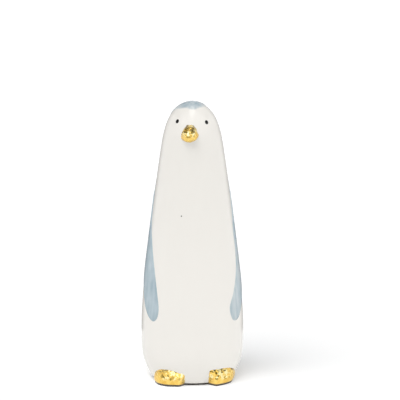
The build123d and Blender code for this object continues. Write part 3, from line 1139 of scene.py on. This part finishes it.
class PENGUIN_OT_feet(bpy.types.Operator):
    """Presses the two gold feet on to the base"""

    bl_idname = "penguin.feet"
    bl_label = "Gold feet"

    def execute(self, context):
        settings = context.scene.penguin
        foot = settings.foot
        right = (foot.right_turn, foot.right_reach, foot.right_height)
        left = (foot.left_turn, foot.left_reach, foot.left_height)
        self.press(settings, "right_foot", -1, right, RIGHT_FOOT_SHARES, RIGHT_FOOT_SEED)
        self.press(settings, "left_foot", 1, left, LEFT_FOOT_SHARES, LEFT_FOOT_SEED)
        return {"FINISHED"}

    def press(self, settings, node, side, place, shares, seed):
        """One foot on the side +1 or -1, placed by its turn, reach and height."""
        foot, finish = settings.foot, settings.finish
        turn, reach, height = place
        outline = smooth_line(np.array(shares) * (foot.length, foot.girth_radius), FOOT_ROWS)
        along = sideways(turn) * side
        out = facing(turn)
        start = out * (foot.base_radius + reach - foot.girth_radius) - along * foot.length / 2 + UP * height
        angles = np.linspace(0, math.tau, FOOT_COLUMNS, endpoint=False) * side
        circle = np.outer(np.cos(angles), out) + np.outer(np.sin(angles), UP)
        points = np.vstack([start + along * step + circle * radius for step, radius in outline])
        points, faces = capped(points, FOOT_ROWS, FOOT_COLUMNS)
        rim = np.sqrt(np.maximum(outline[:, 1] ** 2 - (height - foot.gap_height) ** 2, 0))
        rim = np.concatenate([np.repeat(rim, FOOT_COLUMNS), rim[[0, -1]]])
        inset = rim - (points - start) @ out
        is_under = (points[:, 2] < foot.gap_height) & (inset < foot.gap_depth)
        points[:, 2] = np.where(is_under, foot.gap_height, np.maximum(points[:, 2], 0))
        radius = np.hypot(points[:, 0], points[:, 1])
        least = skin.line(skin.at_height(points[:, 2]), 0.0)[0] - foot.root
        points[:, :2] *= np.maximum(1.0, least / radius)[:, None]
        inner_share = np.clip(1 - (points - start) @ along / foot.length, 0, 1)
        lean = foot.lean * inner_share**2 * (points[:, 2] - foot.lean_height)
        radius = np.hypot(points[:, 0], points[:, 1])
        turned = np.arctan2(points[:, 0], -points[:, 1]) - side * lean / radius
        points[:, 0] = radius * np.sin(turned)
        points[:, 1] = -radius * np.cos(turned)
        z = points[:, 2]
        # Painted highlights and dark reflections on the upper inner part of each foot, and a painted dark
        # patch on the left one
        painted_facets = smooth_step(*FOOT_FACET_HEIGHTS, z) * smooth_step(*FOOT_FACET_SHARES, inner_share)
        painted_dark_patch = smooth_step(*FOOT_PAINTED_PATCH_HEIGHTS, z) * smooth_step(*FOOT_PAINTED_PATCH_SPAN, inner_share)
        painted_dark_patch = painted_dark_patch * (side > 0)
        gild(f"gold_{node}", node, points, faces, painted_facets, painted_dark_patch, finish.dent_depth, seed, finish)


# Stage

IMAGE_PIXELS = 400
SENSOR_WIDTH = 36.0
CLIP_START, CLIP_END = 0.05, 50.0
WHITE = (1.0, 1.0, 1.0, 1.0)
FLOOR_HALF = 6.0
# Strength of the floor as it is seen, which is white where no shadow falls
FLOOR_SHOWN = 1.15
# Cards above and in front: brightness, half width, and the Y and Z of the near and far edges
OVERHEAD_CARDS = {
    "softbox": (2.7, 0.16, (-0.75, 1.0), (0.25, 1.0)),
    "ceiling_card": (0.3, 1.5, (-0.1, 1.05), (1.2, 1.05)),
    "front_glow": (1.4, 0.9, (-1.0, 0.35), (-0.5, 1.02)),
}
# Cards behind, left and right as the camera sees them: brightness, height, and the X and Y of the
# inner and outer edges
EDGE_CARDS = {"left_card": -1, "right_card": 1}
EDGE_BRIGHTNESS = 0.32
EDGE_HEIGHT = 0.4
EDGE_INNER = (0.01, 0.11)
EDGE_OUTER = (0.085, 0.075)


def seen_directly(add):
    """1 for what the camera, a reflection or a clear material sees, and 0 for light on a surface."""
    path = add("ShaderNodeLightPath").outputs
    seen = add("ShaderNodeMath", {0: path["Is Camera Ray"], 1: path["Is Glossy Ray"]}, operation="ADD")
    clear = path["Is Transmission Ray"]
    return add("ShaderNodeMath", {0: seen, 1: clear}, operation="ADD", use_clamp=True)


class PENGUIN_OT_stage(bpy.types.Operator):
    """Sets the floor, the light and the camera"""

    bl_idname = "penguin.stage"
    bl_label = "Stage"

    def execute(self, context):
        scene = context.scene
        stage = scene.penguin.stage
        scene.view_settings.view_transform = "Standard"
        self.lay_floor(stage)
        self.hang_cards()
        self.hang_lamps(scene, stage)
        self.light_surroundings(scene, stage)
        self.aim_camera(scene, stage)
        return {"FINISHED"}

    def lay_floor(self, stage):
        """A wide pale floor that shows white where no shadow falls."""
        material, add = new_material("matte_white_paper")
        matte = add("ShaderNodeBsdfDiffuse", {"Color": linear(stage.floor)})
        bright = (FLOOR_SHOWN, FLOOR_SHOWN, FLOOR_SHOWN, 1.0)
        shown = add("ShaderNodeBsdfDiffuse", {"Color": bright})
        end_material(add, {0: seen_directly(add), 1: matte, 2: shown}, "ShaderNodeMixShader")
        half = FLOOR_HALF
        corners = [(-half, -half, 0), (half, -half, 0), (half, half, 0), (-half, half, 0)]
        new_piece("floor", corners, [(0, 1, 2, 3)], material)

    def hang_cards(self):
        """Studio cards that only reflections see.

        A softbox, a grey ceiling behind it and a glow in front give the gold its contrast and the
        brow its highlight. A grey card behind each side draws the edge of the glaze.
        """
        for name, (brightness, half, (y0, z0), (y1, z1)) in OVERHEAD_CARDS.items():
            corners = [(-half, y0, z0), (half, y0, z0), (half, y1, z1), (-half, y1, z1)]
            self.hang_card(name, brightness, corners)
        for name, side in EDGE_CARDS.items():
            (x0, y0), (x1, y1) = EDGE_INNER, EDGE_OUTER
            foot = [(side * x0, y0, 0), (side * x1, y1, 0)]
            head = [(x, y, EDGE_HEIGHT) for x, y, _ in reversed(foot)]
            self.hang_card(name, EDGE_BRIGHTNESS, foot + head)

    def hang_card(self, name, brightness, corners):
        """One card with its own brightness."""
        material, add = new_material(name)
        end_material(add, {"Strength": brightness}, "ShaderNodeEmission")
        card = new_piece(name, corners, [(0, 1, 2, 3)], material)
        card.visible_camera = False
        card.visible_diffuse = False
        card.visible_shadow = False
        card.visible_transmission = False

    def hang_lamps(self, scene, stage):
        """A broad key from the penguin's front right, and a fill from its left on the figurine alone."""
        self.hang_lamp(scene, stage, "key", stage.key_strength, stage.key_turn, stage.key_height)
        side = self.hang_lamp(
            scene, stage, "side_fill", stage.side_strength, stage.side_turn, stage.side_height
        )
        figurine = bpy.data.collections.new("figurine")
        for piece in dressed:
            figurine.objects.link(piece)
        side.light_linking.receiver_collection = figurine

    def hang_lamp(self, scene, stage, name, strength, turn, height):
        """One broad lamp that shines from a turn and a height, and isn't seen in reflections."""
        light = bpy.data.lights.new(name, "SUN")
        light.energy = strength
        light.angle = stage.key_spread
        lamp = bpy.data.objects.new(name, light)
        toward = Vector(facing(turn)) * math.cos(height) + Vector(UP) * math.sin(height)
        lamp.rotation_euler = toward.to_track_quat("Z", "Y").to_euler()
        lamp.visible_glossy = False
        scene.collection.objects.link(lamp)
        return lamp

    def light_surroundings(self, scene, stage):
        """White surroundings to the eye, and as a light a softer fill that grows towards +X."""
        scene.world = bpy.data.worlds.new("studio")
        scene.world.use_nodes = True
        scene.world.node_tree.nodes.clear()
        add = partial(add_node, scene.world.node_tree)
        direction = add("ShaderNodeTexCoord").outputs["Generated"]
        dim, bright = (stage.fill_strength * (1 + side * stage.fill_lean) for side in (-1, 1))
        leftwards = add("ShaderNodeSeparateXYZ", {0: direction}).outputs["X"]
        fill = add(
            "ShaderNodeMapRange",
            {"Value": leftwards, "From Min": -1.0, "From Max": 1.0, "To Min": dim, "To Max": bright},
        )
        strength = add("ShaderNodeMapRange", {"Value": seen_directly(add), "To Min": fill, "To Max": 1.0})
        sky = add("ShaderNodeBackground", {"Color": WHITE, "Strength": strength})
        add("ShaderNodeOutputWorld", {"Surface": sky})

    def aim_camera(self, scene, stage):
        """A distant camera at the front, a little above the figurine."""
        data = bpy.data.cameras.new("camera")
        view = Vector((0, math.cos(stage.elevation), -math.sin(stage.elevation)))
        rise = Vector((0, math.sin(stage.elevation), math.cos(stage.elevation)))
        toward = view * stage.distance + Vector((1, 0, 0)) * stage.shift_right + rise * stage.shift_up
        data.sensor_width = SENSOR_WIDTH
        data.lens = SENSOR_WIDTH * stage.distance / (IMAGE_PIXELS * stage.pixel_size)
        data.clip_start = CLIP_START
        data.clip_end = CLIP_END
        camera = bpy.data.objects.new("camera", data)
        camera.location = Vector((0, 0, stage.aim_height)) - view * stage.distance
        camera.rotation_euler = toward.to_track_quat("-Z", "Y").to_euler()
        scene.collection.objects.link(camera)
        scene.camera = camera


class PENGUIN_PT_panel(bpy.types.Panel):
    """Lists the figurine's pieces"""

    bl_label = "Penguin figurine"
    bl_idname = "PENGUIN_PT_panel"
    bl_space_type = "VIEW_3D"
    bl_region_type = "UI"
    bl_category = "Penguin"

    def draw(self, context):
        for operator in OPERATORS:
            self.layout.operator(operator.bl_idname)


SETTINGS = (
    BodySettings,
    MantleSettings,
    FlipperSettings,
    FaceSettings,
    FootSettings,
    FinishSettings,
    StageSettings,
    PenguinSettings,
)
OPERATORS = (
    PENGUIN_OT_body,
    PENGUIN_OT_mantle,
    PENGUIN_OT_flippers,
    PENGUIN_OT_beak,
    PENGUIN_OT_eyes,
    PENGUIN_OT_feet,
    PENGUIN_OT_stage,
)
CLASSES = (*SETTINGS, *OPERATORS, PENGUIN_PT_panel)


def register():
    """Registers the classes and hangs the settings on the scene."""
    for item in CLASSES:
        bpy.utils.register_class(item)
    bpy.types.Scene.penguin = PointerProperty(type=PenguinSettings)


def unregister():
    """Takes the settings and the classes away again."""
    del bpy.types.Scene.penguin
    for item in reversed(CLASSES):
        bpy.utils.unregister_class(item)


def main():
    """Makes every piece and the stage."""
    register()
    bpy.ops.penguin.body()
    bpy.ops.penguin.mantle()
    bpy.ops.penguin.flippers()
    bpy.ops.penguin.beak()
    bpy.ops.penguin.eyes()
    bpy.ops.penguin.feet()
    bpy.ops.penguin.stage()


if __name__ == "__main__":
    main()
